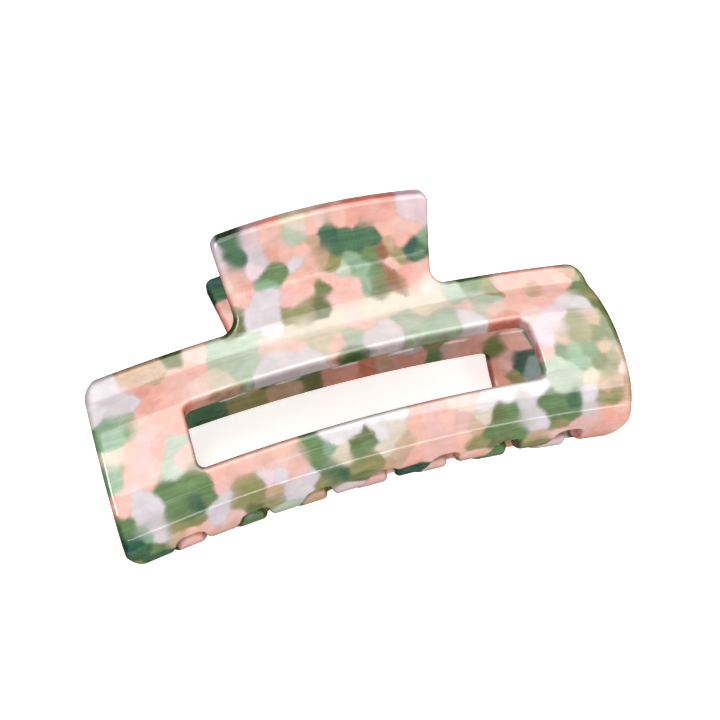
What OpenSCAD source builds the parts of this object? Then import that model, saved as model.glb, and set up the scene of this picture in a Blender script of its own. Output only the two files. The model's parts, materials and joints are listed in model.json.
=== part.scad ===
// Rectangular claw hair clip: two thermoformed acetate jaws hinged on a sprung pin.
// The clip lies on its rear jaw: X runs along the clip, Y from the teeth to the
// handles, Z from the rear jaw up to the front jaw. Origin: centre of the footprint.

/* [Jaws] */
// Length of the jaws at the shoulders
clip_len = 104; // [96:1:108]
// Thickness of the acetate plate
plate_t = 3.6; // [3.2:0.1:3.8]
// Radius of the arch that both jaws follow along their length
arch_r = 390; // [340:10:480]
// How far each half of the jaw tapers in from the shoulders to the toothed edge
body_taper = 0.6; // [0:0.1:2]
// Radius of the corners at the shoulders
shoulder_corner_r = 3; // [2:0.5:4]
// Radius of the corners at the toothed edge
toe_corner_r = 2.4; // [2:0.2:3]

/* [Cross-section] */
// Distance from the hinge plane to the outside of the neck
neck_depth = 10.6; // [10:0.1:11]
// Outer radius of the waist between handle and jaw
waist_r = 5; // [4.5:0.5:6]
// Slope of the jaw where it leaves the waist
waist_slope = 48; // [44:1:50]
// Outer radius of the bulging part of the jaw
bulge_r = 21; // [20:0.5:22]
// Outer radius of the bend above the teeth
bend_r = 13; // [12:0.5:14]
// Outer radius of the flared handle
flare_r = 60; // [50:5:70]
// Length of the flared handle along its curve
flare_len = 19.6; // [17:0.2:20]

/* [Window] */
// Length of the window in each jaw
window_len = 69.2; // [60:0.2:74]
// Length of the upper bar, along the curve, from shoulder to window
upper_bar = 12.7; // [11:0.1:14]
// Height of the window along the curve
window_h = 13.4; // [10:0.1:15]
// Radius of the window's corners
window_corner_r = 1.8; // [1.4:0.1:3]

/* [Handle] */
// Width of the handle at the neck
neck_w = 40; // [36:1:42]
// Width of the handle at its tip
handle_w = 44.2; // [40:0.2:46]
// Radius of the crowned edge at the tip of the handle
crown_r = 150; // [120:10:200]
// Radius of the corners at the tip of the handle
handle_corner_r = 2; // [1:0.5:3]
// Radius of the fillets between neck and shoulders
neck_fillet_r = 3; // [2:0.5:4]

/* [Teeth] */
// Teeth on the front jaw; the rear jaw has one fewer, set between them
front_teeth = 8; // [7:1:8]
// Distance between neighbouring teeth of one jaw
tooth_pitch = 13; // [12.6:0.1:13.2]
// Width of a tooth at its root
tooth_root_w = 8.6; // [6:0.1:8.8]
// Width of a tooth near its tip
tooth_tip_w = 4; // [3:0.1:4.4]
// Length of a tooth along the curve
tooth_len = 14; // [12:0.5:15]

/* [Hinge] */
// Radius of the hinge pin
pin_r = 1.3; // [1.2:0.05:1.4]
// Radial clearance of the pin in the lugs
pin_fit = 0.05; // [0.03:0.01:0.08]
// Width of each hinge lug along the pin
lug_w = 3; // [2.6:0.1:3.2]
// Radius of the rounded nose of a lug
lug_r = 3.4; // [3:0.1:3.6]
// Gap between neighbouring lugs
lug_gap = 0.3; // [0.2:0.05:0.5]
// Distance between the inner faces of the inner lugs
lug_span = 13; // [12:0.5:14]

/* [Spring] */
// Diameter of the spring wire
wire_d = 1.3; // [1.1:0.1:1.4]
// Radius of the coil, to the middle of the wire
coil_r = 3; // [2.8:0.1:3.2]
// Turns in the coil
coil_turns = 7; // [5:1:7]
// How far each leg of the spring reaches up its handle
leg_len = 13; // [11:0.5:14]

/* [Hidden] */

// Slopes of the plate where the arcs of the cross-section meet, in degrees. A
// positive slope turns the outer face towards the teeth, a negative one towards
// the handle.
flare_slope = 20;
bulge_end = 10;
bend_end = 68;
// Slope of the plate at the shoulders' edge
shoulder_slope = 16;
// Outer radius of the curve of the teeth
tooth_r = 18;
// Depth that clears every cut through a jaw
cut_h = 30;
// Gap that keeps a lug off the plate it is bonded to
lug_fit = 0.02;
// Reach of a lug's foot below and above the hinge, and into the plate's curve
lug_foot_low = 4.6;
lug_foot_high = 5.4;
lug_foot_depth = 9.5;
// Head of the pin, the cap at its other end, and the play beside the lugs
head_r = 2.2;
head_h = 1;
cap_r = 2.1;
cap_h = 1.8;
cap_bore = 1.2;
end_gap = 0.1;
// Foot at the end of each leg of the spring
foot_len = 4;
// Rings along the spring's coil
coil_steps = 76;

function deg(a) = a * 180 / PI;
function rad(a) = a * PI / 180;

// Unit vector out of the plate's outer face at a slope, as [height, depth]
function out_dir(slope) = [-sin(slope), cos(slope)];

// Centres of the arcs, as [height above the hinge, depth from the hinge plane]
waist_c = [0, neck_depth + waist_r];
flare_c = waist_c + (flare_r - waist_r) * out_dir(flare_slope);
bulge_c = waist_c - (waist_r + bulge_r) * out_dir(-waist_slope);
bend_c = bulge_c + (bulge_r - bend_r) * out_dir(bulge_end);
tooth_c = bend_c + (bend_r - tooth_r) * out_dir(bend_end);

// Slopes at the handle's tip, the window's edges, the tooth tips and the spring's feet
tip_slope = flare_slope + deg(flare_len / flare_r);
window_top = deg((upper_bar - waist_r * rad(shoulder_slope + waist_slope)) / bulge_r) - waist_slope;
window_low = window_top + deg(window_h / bulge_r);
tooth_slope = bend_end + deg(tooth_len / tooth_r);
leg_slope = flare_slope + deg(leg_len / flare_r);

// Heights above the hinge of the outer face at some slopes
function height_at(slope) = bulge_c[0] - bulge_r * sin(slope);
shoulder_h = waist_r * sin(shoulder_slope);
toe_h = bend_c[0] - bend_r * sin(bend_end);
toe_depth = bend_c[1] + bend_r * cos(bend_end);
shoulder_to_toe = shoulder_h - toe_h;
tooth_chord = 2 * tooth_r * sin((tooth_slope - bend_end) / 2);

// The handle's own plane: its slope, and places along it of tip and shoulders
handle_slope = (flare_slope + tip_slope) / 2;
function handle_v(p) = p[0] * cos(handle_slope) + (p[1] - neck_depth) * sin(handle_slope);
tip_v = handle_v(flare_c - flare_r * out_dir(tip_slope));
shoulder_v = handle_v(waist_c - waist_r * out_dir(shoulder_slope));

// Half the thickness of the closed clip, and the offset that centres its footprint
half_depth = max(bulge_c[1] + bulge_r, flare_c[1] - flare_r * cos(tip_slope));
y_high = flare_c[0] + (flare_r + plate_t) * sin(tip_slope);
y_low = drop(tooth_c[0] - tooth_r, tooth_x(front_teeth, 0) + tooth_tip_w / 2);
y_shift = -(y_high + y_low) / 2;

// Height of a line of the arched jaw at a distance x from its middle
function drop(height, x) = sqrt(pow(arch_r + height, 2) - x * x) - arch_r;
// Place of a tooth along the clip
function tooth_x(count, i) = ((count - 1) / 2 - i) * tooth_pitch;

// The cross-section, from the handle's tip to the tips of the teeth, as arcs of
// [centre, radius of the outer face, first slope, last slope, steps]. A negative
// radius is a hollow arc.
section = [
    [flare_c, -flare_r, tip_slope + 2, flare_slope, 4],
    [waist_c, -waist_r, flare_slope, -waist_slope, 12],
    [bulge_c, bulge_r, -waist_slope, bulge_end, 12],
    [bend_c, bend_r, bulge_end, bend_end, 10],
    [tooth_c, tooth_r, bend_end, tooth_slope + 2, 6],
];
BULGE = 2;
TOOTH = 4;

// Points of an arc of the plate, at a depth below its outer face
function arc_points(arc, below) = [
    for (k = [0:arc[4]]) arc[0] + (arc[1] - below) * out_dir(arc[2] + (arc[3] - arc[2]) * k / arc[4])
];
function backwards(list) = [for (k = [len(list) - 1:-1:0]) list[k]];

// Arcs of the plate, thicker by extra on both faces, as one outline
module plate_outline(arcs, extra = 0) {
    outer = [for (arc = arcs) each arc_points(arc, -extra)];
    inner = [for (arc = arcs) each arc_points(arc, plate_t + extra)];
    polygon(concat(outer, backwards(inner)));
}

// Part of an arc between two slopes
function arc_between(arc, from, to) = [arc[0], arc[1], from, to, arc[4]];

// Sweeps a cross-section along the arch, about the arch's centre
module along_arch(angle = 9) {
    translate([0, -arch_r, 0])
        rotate([0, 0, 90 - angle])
            rotate_extrude(angle = 2 * angle, $fn = 180)
                translate([arch_r, 0])
                    children();
}

// The corner left outside a circle between two directions, in plan
module corner_outside(c, r, a0, a1) {
    mid = (a0 + a1) / 2;
    translate(c)
        difference() {
            polygon([[0, 0], 3 * r * [cos(a0), sin(a0)], 4 * r * [cos(mid), sin(mid)], 3 * r * [cos(a1), sin(a1)]]);
            circle(r, $fn = 48);
        }
}

// Corner where a strip ends at x, beneath (side 1) or above (side -1) a line
// that is arched with radius ring about a centre at centre_y
module arch_corner(centre_y, ring, x, r, side) {
    inner = ring - side * r;
    a = asin((x - r) / inner);
    corner_outside([inner * sin(a), centre_y + inner * cos(a)], r, 0, side * 90 - a);
}

// The same, on a line of the jaw at a given height above the hinge
module jaw_corner(height, x, r, side) {
    arch_corner(-arch_r, arch_r + height, x, r, side);
}

module both_ends() {
    children();
    mirror([1, 0, 0])
        children();
}

// Half the length of the jaw at a given height above the hinge
function body_half(height) = clip_len / 2 + body_taper * height / shoulder_to_toe;

// Cuts the window, with its rounded corners
module window_cut() {
    difference() {
        along_arch(6)
            plate_outline([arc_between(section[BULGE], window_top, window_low)], 1);
        both_ends()
            linear_extrude(cut_h) {
                translate([window_len / 2, -60])
                    square([30, 80]);
                jaw_corner(height_at(window_top), window_len / 2, window_corner_r, 1);
                jaw_corner(height_at(window_low), window_len / 2, window_corner_r, -1);
            }
    }
}

// Cuts the two ends of the jaw, with the rounded corners of the shoulders
module ends_cut() {
    both_ends()
        linear_extrude(cut_h) {
            polygon([
                [body_half(30), 30], [body_half(30) + 20, 30],
                [body_half(-50) + 20, -50], [body_half(-50), -50],
            ]);
            jaw_corner(shoulder_h, body_half(0), shoulder_corner_r, 1);
        }
}

// Outline of the handle in its own plane, from below the shoulders to the tip
module handle_outline() {
    slant = (handle_w - neck_w) / 2 / tip_v;
    difference() {
        union() {
            polygon([
                [-neck_w / 2, -3], [neck_w / 2, -3],
                [handle_w / 2 + slant, tip_v + 1], [-handle_w / 2 - slant, tip_v + 1],
            ]);
            translate([-neck_w / 2 - neck_fillet_r, -3])
                square([neck_w + 2 * neck_fillet_r, 3 + shoulder_v + neck_fillet_r]);
        }
        both_ends() {
            translate([neck_w / 2 + neck_fillet_r * (1 + slant), shoulder_v + neck_fillet_r])
                circle(neck_fillet_r, $fn = 48);
            arch_corner(tip_v - crown_r, crown_r, handle_w / 2, handle_corner_r, 1);
        }
        difference() {
            translate([-handle_w, tip_v - 5])
                square([2 * handle_w, 12]);
            translate([0, tip_v - crown_r])
                circle(crown_r, $fn = 180);
        }
    }
}

// Cuts the strip above the shoulders down to the handle
module shoulder_cut() {
    outer = waist_c - (waist_r - 3) * out_dir(shoulder_slope);
    inner = waist_c - (waist_r + plate_t + 3) * out_dir(shoulder_slope);
    difference() {
        along_arch(9.5)
            polygon([outer, inner, [30, inner[1]], [30, cut_h], [outer[0], cut_h]]);
        translate([0, 0, neck_depth])
            rotate([handle_slope, 0, 0])
                translate([0, 0, -cut_h / 2])
                    linear_extrude(cut_h)
                        handle_outline();
    }
}

// Outline of one tooth in its own plane, pointing down from its root. The two
// reaches widen its root on the left and right, to run into the jaw's corners
module tooth_outline(left_reach, right_reach) {
    tip = tooth_tip_w / 2;
    left = -tooth_root_w / 2 - left_reach;
    right = tooth_root_w / 2 + right_reach;
    translate([0, tip - tooth_chord])
        circle(tip, $fn = 48);
    polygon([
        [left, 2.5], [right, 2.5], [right, 0], [tip, tip - tooth_chord], [-tip, tip - tooth_chord], [left, 0],
    ]);
}

// Cuts the curved strip below the jaw into a row of teeth, and rounds the corners
// beside them
module toe_cut(count) {
    to_corner = body_half(toe_h) - toe_corner_r - tooth_x(count, 0) - tooth_root_w / 2;
    reach = to_corner < toe_corner_r ? to_corner : 0;
    difference() {
        union() {
            along_arch(9.5)
                plate_outline([arc_between(section[TOOTH], bend_end, tooth_slope + 4)], 1);
            both_ends()
                linear_extrude(cut_h)
                    jaw_corner(toe_h, body_half(toe_h), toe_corner_r, -1);
        }
        for (i = [0:count - 1])
            translate([0, -arch_r, 0])
                rotate([0, 0, -deg(tooth_x(count, i) / (arch_r + toe_h))])
                    translate([0, arch_r + toe_h, toe_depth])
                        rotate([(bend_end + tooth_slope) / 2, 0, 0])
                            translate([0, 0, -cut_h / 3])
                                linear_extrude(cut_h / 2)
                                    tooth_outline(i == count - 1 ? reach : 0, i == 0 ? reach : 0);
    }
}

// A whole jaw, above the hinge plane: one plate, curved and cut to shape
module jaw(count) {
    difference() {
        along_arch()
            plate_outline(section);
        ends_cut();
        window_cut();
        shoulder_cut();
        toe_cut(count);
    }
}

// Moves from the hinge's frame, with the pin on the X axis, to the clip's own
module placed() {
    translate([0, y_shift, half_depth])
        children();
}

module turned_down() {
    mirror([0, 0, 1])
        children();
}

module front_jaw() {
    color("lightpink")
        placed()
            jaw(front_teeth);
}

module rear_jaw() {
    color("salmon")
        placed()
            turned_down()
                jaw(front_teeth - 1);
}

// A lug that stands on the inside of a jaw's waist and holds the pin, starting at x
module lug(x) {
    difference() {
        translate([x, 0, 0])
            rotate([90, 0, 90])
                linear_extrude(lug_w) {
                    circle(lug_r, $fn = 64);
                    polygon([[-lug_r, 0], [lug_r, 0], [lug_foot_high, lug_foot_depth], [-lug_foot_low, lug_foot_depth]]);
                }
        translate([x - 1, 0, 0])
            rotate([0, 90, 0])
                cylinder(h = lug_w + 2, r = pin_r + pin_fit, $fn = 64);
        along_arch(3)
            plate_outline(section, lug_fit);
    }
}

inner_lug_x = lug_span / 2;
outer_lug_x = inner_lug_x + lug_w + lug_gap;
hinge_half = outer_lug_x + lug_w;

module front_lug_left() {
    color("palegreen")
        placed()
            lug(-hinge_half);
}

module front_lug_right() {
    color("palegreen")
        placed()
            lug(outer_lug_x);
}

module rear_lug_left() {
    color("seagreen")
        placed()
            turned_down()
                lug(-inner_lug_x - lug_w);
}

module rear_lug_right() {
    color("seagreen")
        placed()
            turned_down()
                lug(inner_lug_x);
}

// A steel pin with a domed head at its left end
module hinge_pin() {
    color("silver")
        placed()
            translate([-hinge_half - end_gap, 0, 0])
                rotate([0, 90, 0]) {
                    cylinder(h = 2 * (hinge_half + end_gap) + cap_bore, r = pin_r, $fn = 64);
                    mirror([0, 0, 1])
                        cylinder(h = head_h, r1 = head_r, r2 = head_r * 0.6, $fn = 64);
                }
}

// A push-on cap that keeps the pin in place at its right end
module pin_cap() {
    color("gainsboro")
        placed()
            translate([hinge_half + end_gap, 0, 0])
                rotate([0, 90, 0])
                    difference() {
                        union() {
                            cylinder(h = cap_h - 0.5, r = cap_r, $fn = 64);
                            translate([0, 0, cap_h - 0.5])
                                cylinder(h = 0.5, r1 = cap_r, r2 = cap_r - 0.5, $fn = 64);
                        }
                        translate([0, 0, -1])
                            cylinder(h = cap_bore + 1.02, r = pin_r + 0.01, $fn = 64);
                    }
}

// Where a leg of the spring ends: on the inside of its handle, clear of it by
// half the wire, as [height, depth]
leg_c = flare_c - (flare_r + plate_t + wire_d / 2 + 0.15) * out_dir(leg_slope);
leg_turn = atan2(leg_c[1], leg_c[0]) + acos(coil_r / norm(leg_c));
coil_half = lug_span / 2 - wire_d / 2 - 0.4;
coil_sweep = 360 * (coil_turns - 1) + 360 - 2 * leg_turn;

// Centre line of the spring: a foot along the handle, a leg, the coil, and the
// same again on the other handle
function coil_point(k) =
    let (a = leg_turn + coil_sweep * k)
    [coil_half * (2 * k - 1), coil_r * cos(a), coil_r * sin(a)];
function leg_points(side) = [
    for (p = [[foot_len, 0], [0.8, 0], [0.25, 0.25], [0, 0.8]])
        let (q = leg_c * (1 - p[1] / norm(leg_c)))
        [side * (p[0] - coil_half), q[0], side * q[1]]
];
spring_path = concat(
    leg_points(1),
    [for (k = [0:coil_steps]) coil_point(k / coil_steps)],
    [for (k = [3:-1:0]) leg_points(-1)[k]]
);

function unit(v) = v / norm(v);
function heading(path, i) = unit(path[min(i + 1, len(path) - 1)] - path[max(i - 1, 0)]);
function square_to(v, t) = unit(v - (v * t) * t);

// A wire of round section along a path; each ring's start is carried along from
// the one before, so that the wire doesn't twist
module wire(path, r, sides) {
    n = len(path);
    starts = [
        for (i = 0, v = square_to([0, 1, 0.3], heading(path, 0)); i < n;
             i = i + 1, v = i < n ? square_to(v, heading(path, i)) : v) v
    ];
    points = [
        for (i = [0:n - 1])
            let (t = heading(path, i), v = starts[i], w = cross(t, v))
            for (k = [0:sides - 1])
                path[i] + r * (cos(360 * k / sides) * v + sin(360 * k / sides) * w)
    ];
    walls = [
        for (i = [0:n - 2], k = [0:sides - 1])
            let (a = i * sides + k, b = i * sides + (k + 1) % sides)
            [a, a + sides, b + sides, b]
    ];
    ends = [
        [for (k = [0:sides - 1]) k],
        [for (k = [sides - 1:-1:0]) (n - 1) * sides + k],
    ];
    polyhedron(points, concat(walls, ends));
}

module torsion_spring() {
    color("lightslategray")
        placed()
            wire(spring_path, wire_d / 2, 8);
}

front_jaw();
rear_jaw();
front_lug_left();
front_lug_right();
rear_lug_left();
rear_lug_right();
hinge_pin();
pin_cap();
torsion_spring();
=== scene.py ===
"""A claw hair clip of marbled acetate, lying on its rear jaw on a pale floor."""

import json
import math
import random

import bpy
import numpy as np
from mathutils import Matrix, Vector, noise
from mathutils.geometry import delaunay_2d_cdt


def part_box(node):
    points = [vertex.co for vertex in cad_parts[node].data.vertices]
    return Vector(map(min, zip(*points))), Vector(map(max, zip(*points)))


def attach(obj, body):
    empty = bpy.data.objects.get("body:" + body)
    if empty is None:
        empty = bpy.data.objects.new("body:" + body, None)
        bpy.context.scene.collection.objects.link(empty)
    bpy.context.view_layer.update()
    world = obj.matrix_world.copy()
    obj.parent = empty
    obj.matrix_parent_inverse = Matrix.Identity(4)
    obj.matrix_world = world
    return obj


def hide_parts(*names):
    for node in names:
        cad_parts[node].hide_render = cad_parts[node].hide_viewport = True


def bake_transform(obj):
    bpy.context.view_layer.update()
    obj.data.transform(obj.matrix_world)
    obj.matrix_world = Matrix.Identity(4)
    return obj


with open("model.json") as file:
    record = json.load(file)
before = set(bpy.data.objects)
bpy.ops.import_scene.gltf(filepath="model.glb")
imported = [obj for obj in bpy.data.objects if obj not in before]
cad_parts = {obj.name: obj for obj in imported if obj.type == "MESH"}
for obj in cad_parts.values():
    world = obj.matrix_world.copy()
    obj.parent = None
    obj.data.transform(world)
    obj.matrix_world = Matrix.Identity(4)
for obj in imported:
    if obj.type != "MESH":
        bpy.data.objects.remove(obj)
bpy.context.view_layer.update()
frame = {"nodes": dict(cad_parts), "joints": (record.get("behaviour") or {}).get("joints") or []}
MM = 0.001
# Blender seeds this noise by the clock unless told otherwise
noise.seed_set(12)

# ---------------------------------------------------------------- the design, in mm
# The same driving sizes as the CAD source
CLIP_LEN, PLATE_T, ARCH_R, BODY_TAPER = 104.0, 3.6, 390.0, 0.6
NECK_DEPTH, WAIST_R, WAIST_SLOPE = 10.6, 5.0, 48.0
BULGE_R, BEND_R, FLARE_R, FLARE_LEN, TOOTH_R = 21.0, 13.0, 60.0, 19.6, 18.0
FLARE_SLOPE, BULGE_END, BEND_END, SHOULDER_SLOPE = 20.0, 10.0, 68.0, 16.0
WINDOW_LEN, UPPER_BAR, WINDOW_H, WINDOW_CORNER = 69.2, 12.7, 13.4, 1.8
NECK_W, HANDLE_W, CROWN_R, HANDLE_CORNER, NECK_FILLET = 40.0, 44.2, 150.0, 2.0, 3.0
SHOULDER_CORNER, TOE_CORNER = 3.0, 2.4
FRONT_TEETH, TOOTH_PITCH, TOOTH_ROOT, TOOTH_TIP, TOOTH_LEN = 8, 13.0, 8.6, 4.0, 14.0
LUG_SPAN, WIRE_D, COIL_R, COIL_TURNS, LEG_LEN, FOOT_LEN = 13.0, 1.3, 3.0, 7, 13.0, 4.0

HINGE = Vector(frame["joints"][0]["pos_m"]) / MM
Y_SHIFT, HALF_DEPTH = HINGE.y, HINGE.z


def out_dir(slope):
    """Unit vector out of the plate's outer face at a slope, as (height, depth)."""
    a = math.radians(slope)
    return np.array([-math.sin(a), math.cos(a)])


WAIST_C = np.array([0.0, NECK_DEPTH + WAIST_R])
FLARE_C = WAIST_C + (FLARE_R - WAIST_R) * out_dir(FLARE_SLOPE)
BULGE_C = WAIST_C - (WAIST_R + BULGE_R) * out_dir(-WAIST_SLOPE)
BEND_C = BULGE_C + (BULGE_R - BEND_R) * out_dir(BULGE_END)
TOOTH_C = BEND_C + (BEND_R - TOOTH_R) * out_dir(BEND_END)
TIP_SLOPE = FLARE_SLOPE + math.degrees(FLARE_LEN / FLARE_R)
TOOTH_SLOPE = BEND_END + math.degrees(TOOTH_LEN / TOOTH_R)

# The cross-section from the handle's tip to the teeth: centre, signed radius, slopes
ARCS = [
    (FLARE_C, -FLARE_R, TIP_SLOPE + 2, FLARE_SLOPE),
    (WAIST_C, -WAIST_R, FLARE_SLOPE, -WAIST_SLOPE),
    (BULGE_C, BULGE_R, -WAIST_SLOPE, BULGE_END),
    (BEND_C, BEND_R, BULGE_END, BEND_END),
    (TOOTH_C, TOOTH_R, BEND_END, TOOTH_SLOPE + 4),
]
ARC_LENGTHS = [abs(r) * math.radians(abs(b - a)) for _, r, a, b in ARCS]
ARC_STARTS = np.concatenate([[0.0], np.cumsum(ARC_LENGTHS)[:-1]])
# Distances along the section are counted from the shoulders, down to the teeth
SHOULDER_AT = ARC_STARTS[1] + WAIST_R * math.radians(FLARE_SLOPE - SHOULDER_SLOPE)


def place_of(arc, slope):
    """Distance along the section, from the shoulders, of a slope on one of its arcs."""
    _, r, a, b = ARCS[arc]
    return ARC_STARTS[arc] + abs(r) * math.radians(abs(slope - a)) - SHOULDER_AT


S_TIP = place_of(0, TIP_SLOPE)
S_WINDOW_TOP = place_of(2, math.degrees(
    (UPPER_BAR - WAIST_R * math.radians(SHOULDER_SLOPE + WAIST_SLOPE)) / BULGE_R) - WAIST_SLOPE)
S_WINDOW_LOW = S_WINDOW_TOP + WINDOW_H
S_TOE = place_of(3, BEND_END)
S_TOOTH_TIP = S_TOE + TOOTH_LEN


def section(s):
    """Height, depth and slope (radians) of the outer face at distances along it."""
    t = np.asarray(s, float) + SHOULDER_AT
    height, depth, slope = np.zeros_like(t), np.zeros_like(t), np.zeros_like(t)
    for (c, r, a, b), start, length in zip(ARCS, ARC_STARTS, ARC_LENGTHS):
        here = (t >= start) if start == ARC_STARTS[-1] else (t >= start) & (t < start + length)
        if start == 0.0:
            here = here | (t < 0)
        ang = np.radians(a + (b - a) * (t - start) / length)
        height = np.where(here, c[0] - r * np.sin(ang), height)
        depth = np.where(here, c[1] + r * np.cos(ang), depth)
        slope = np.where(here, ang, slope)
    return height, depth, slope


def on_plate(x, s, below, side):
    """Points at a depth below the outer face, in the row frame in mm, and the normals
    of the outer face, for the front (side 1) or rear (side -1) jaw."""
    height, depth, slope = section(s)
    height = height + below * np.sin(slope)
    depth = depth - below * np.cos(slope)
    ring = ARCH_R + height
    along = np.sqrt(ring ** 2 - x ** 2)
    points = np.stack([x, along - ARCH_R + Y_SHIFT, HALF_DEPTH + side * depth], -1)
    normals = np.stack(
        [-np.sin(slope) * x / ring, -np.sin(slope) * along / ring, side * np.cos(slope)], -1)
    return points, normals


# ---------------------------------------------------------------- outlines in the plate
# How far the outline stays inside the CAD's at the two ends and at the handle's tip
END_TRIM, TIP_TRIM = 0.04, 0.16
# Radii of the handle's rounded top edge, the slightly bowed ends and the roots of the teeth
CROWN_BLEND, END_BLEND, ROOT_FILLET = 25.0, 60.0, 1.8
# The teeth lean towards the middle, because the arch fans them out
TOOTH_LEAN, TOOTH_SWELL = 3.2, 0.1
# Height of the handle's tip above the shoulders, and of the corners above the toe
TIP_HEIGHT, CORNER_RISE = 18.0, 0.8


def rounded(corners, step=0.45):
    """A closed outline through corners (x, s, radius), as points about step apart."""
    n = len(corners)
    parts = []
    for i in range(n):
        p = np.array(corners[i][:2], float)
        before = np.array(corners[i - 1][:2], float)
        after = np.array(corners[(i + 1) % n][:2], float)
        u, v = before - p, after - p
        u, v = u / np.linalg.norm(u), v / np.linalg.norm(v)
        half = math.acos(np.clip(u @ v, -1, 1)) / 2
        r = corners[i][2]
        if r <= 0 or half > math.radians(89.5):
            parts.append([p])
            continue
        reach = r / math.tan(half)
        centre = p + (u + v) / np.linalg.norm(u + v) * r / math.sin(half)
        start, end = p + u * reach - centre, p + v * reach - centre
        a0, a1 = math.atan2(start[1], start[0]), math.atan2(end[1], end[0])
        turn = (a1 - a0 + math.pi) % (2 * math.pi) - math.pi
        count = max(3, int(abs(turn) * r / step * 1.6) + 1)
        parts.append([
            centre + r * np.array([math.cos(a0 + turn * k / count), math.sin(a0 + turn * k / count)])
            for k in range(count + 1)])
    loop = []
    for i in range(n):
        loop.extend(parts[i])
        a, b = parts[i][-1], parts[(i + 1) % n][0]
        count = int(np.linalg.norm(b - a) / step)
        loop.extend(a + (b - a) * k / count for k in range(1, count))
    return np.array(loop)


def body_half(s):
    """Half the jaw's length at a distance along the section."""
    height = float(section(np.array([s]))[0][0])
    shoulder, toe = (float(section(np.array([q]))[0][0]) for q in (0.0, S_TOE))
    return CLIP_LEN / 2 - END_TRIM + BODY_TAPER * height / (shoulder - toe)


def jaw_outline(teeth):
    """The outline of a whole jaw, laid out flat: handle, shoulders and teeth."""
    handle_drop = (HANDLE_W / 2) ** 2 / 2 * (1 / CROWN_R - 1 / (ARCH_R + TIP_HEIGHT))
    top = S_TIP + TIP_TRIM
    right = [(0.0, top, 0.0)]
    for k in range(1, 4):
        q = k / 4
        right.append((q * HANDLE_W / 2, top + handle_drop * q * q, CROWN_BLEND))
    right += [
        (HANDLE_W / 2, top + handle_drop, HANDLE_CORNER),
        (NECK_W / 2, 0.0, NECK_FILLET),
        (CLIP_LEN / 2 - END_TRIM, 0.0, SHOULDER_CORNER),
        (body_half(S_WINDOW_LOW), S_WINDOW_LOW, END_BLEND),
    ]
    left = [(-x, s, r) for x, s, r in reversed(right[1:])]
    toes = []
    for i in range(teeth):
        x = ((teeth - 1) / 2 - i) * TOOTH_PITCH
        lean = x / (ARCH_R + float(section(np.array([S_TOE]))[0][0])) * TOOTH_LEAN
        toes += [
            (x + TOOTH_ROOT / 2, S_TOE, ROOT_FILLET),
            (x - lean + TOOTH_TIP / 2 + TOOTH_SWELL, S_TOOTH_TIP, TOOTH_TIP / 2),
            (x - lean - TOOTH_TIP / 2 - TOOTH_SWELL, S_TOOTH_TIP, TOOTH_TIP / 2),
            (x - TOOTH_ROOT / 2, S_TOE, ROOT_FILLET),
        ]
    edge = body_half(S_TOE)
    if teeth == FRONT_TEETH:
        # The outermost teeth run straight into the jaw's corners
        corner = S_TOE - CORNER_RISE
        toes = [(edge, corner, TOE_CORNER), *toes[1:-1], (-edge, corner, TOE_CORNER)]
    else:
        toes = [(edge, S_TOE, TOE_CORNER), *toes, (-edge, S_TOE, TOE_CORNER)]
    return rounded(right + toes + left)


def window_outline():
    """The outline of the window, laid out flat."""
    w = WINDOW_LEN / 2
    return rounded([
        (-w, S_WINDOW_TOP, WINDOW_CORNER), (w, S_WINDOW_TOP, WINDOW_CORNER),
        (w, S_WINDOW_LOW, WINDOW_CORNER), (-w, S_WINDOW_LOW, WINDOW_CORNER)])


def outward(loop, solid_inside):
    """Unit vectors out of the plate along a closed outline."""
    ahead, behind = np.roll(loop, -1, 0), np.roll(loop, 1, 0)
    t = ahead - behind
    t /= np.linalg.norm(t, axis=1)[:, None]
    area = 0.5 * np.sum(loop[:, 0] * ahead[:, 1] - ahead[:, 0] * loop[:, 1])
    side = 1.0 if area > 0 else -1.0
    if not solid_inside:
        side = -side
    return side * np.stack([t[:, 1], -t[:, 0]], -1)


def inside(points, loop):
    """Which points lie inside a closed outline."""
    x, y = points[:, 0][:, None], points[:, 1][:, None]
    x0, y0 = loop[:, 0], loop[:, 1]
    x1, y1 = np.roll(x0, -1), np.roll(y0, -1)
    crosses = (y0 > y) != (y1 > y)
    with np.errstate(divide="ignore", invalid="ignore"):
        at = x0 + (y - y0) * (x1 - x0) / (y1 - y0)
    return (np.sum(crosses & (x < at), 1) % 2) == 1


def far_from(points, loop, distance):
    """Which points lie further than a distance from every point of an outline."""
    d = np.full(len(points), 1e9)
    for i in range(0, len(loop), 200):
        part = loop[i:i + 200]
        d = np.minimum(d, np.sqrt(((points[:, None] - part[None]) ** 2).sum(2)).min(1))
    return d > distance


# ---------------------------------------------------------------- the marbled pattern
# Colours of the acetate's chips: sRGB, and how clear the chip is
PALETTE = {
    "peach": ((231, 181, 167), 0.0),
    "blush": ((234, 202, 190), 0.0),
    "salmon": ((228, 166, 150), 0.05),
    "coral": ((214, 134, 104), 0.3),
    "pink": ((226, 180, 172), 0.0),
    "rose": ((226, 202, 208), 0.0),
    "lavender": ((210, 201, 206), 0.0),
    "white": ((222, 215, 216), 0.0),
    "cream": ((220, 208, 186), 0.15),
    "mist": ((188, 202, 180), 0.25),
    "mint": ((146, 180, 146), 0.5),
    "green": ((118, 150, 100), 0.8),
    "forest": ((78, 122, 88), 1.0),
    "pine": ((48, 98, 82), 1.0),
    "olive": ((158, 154, 104), 0.6),
    "moss": ((120, 132, 80), 0.8),
    "tan": ((204, 172, 142), 0.25),
    "brown": ((160, 112, 82), 0.5),
}

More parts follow.
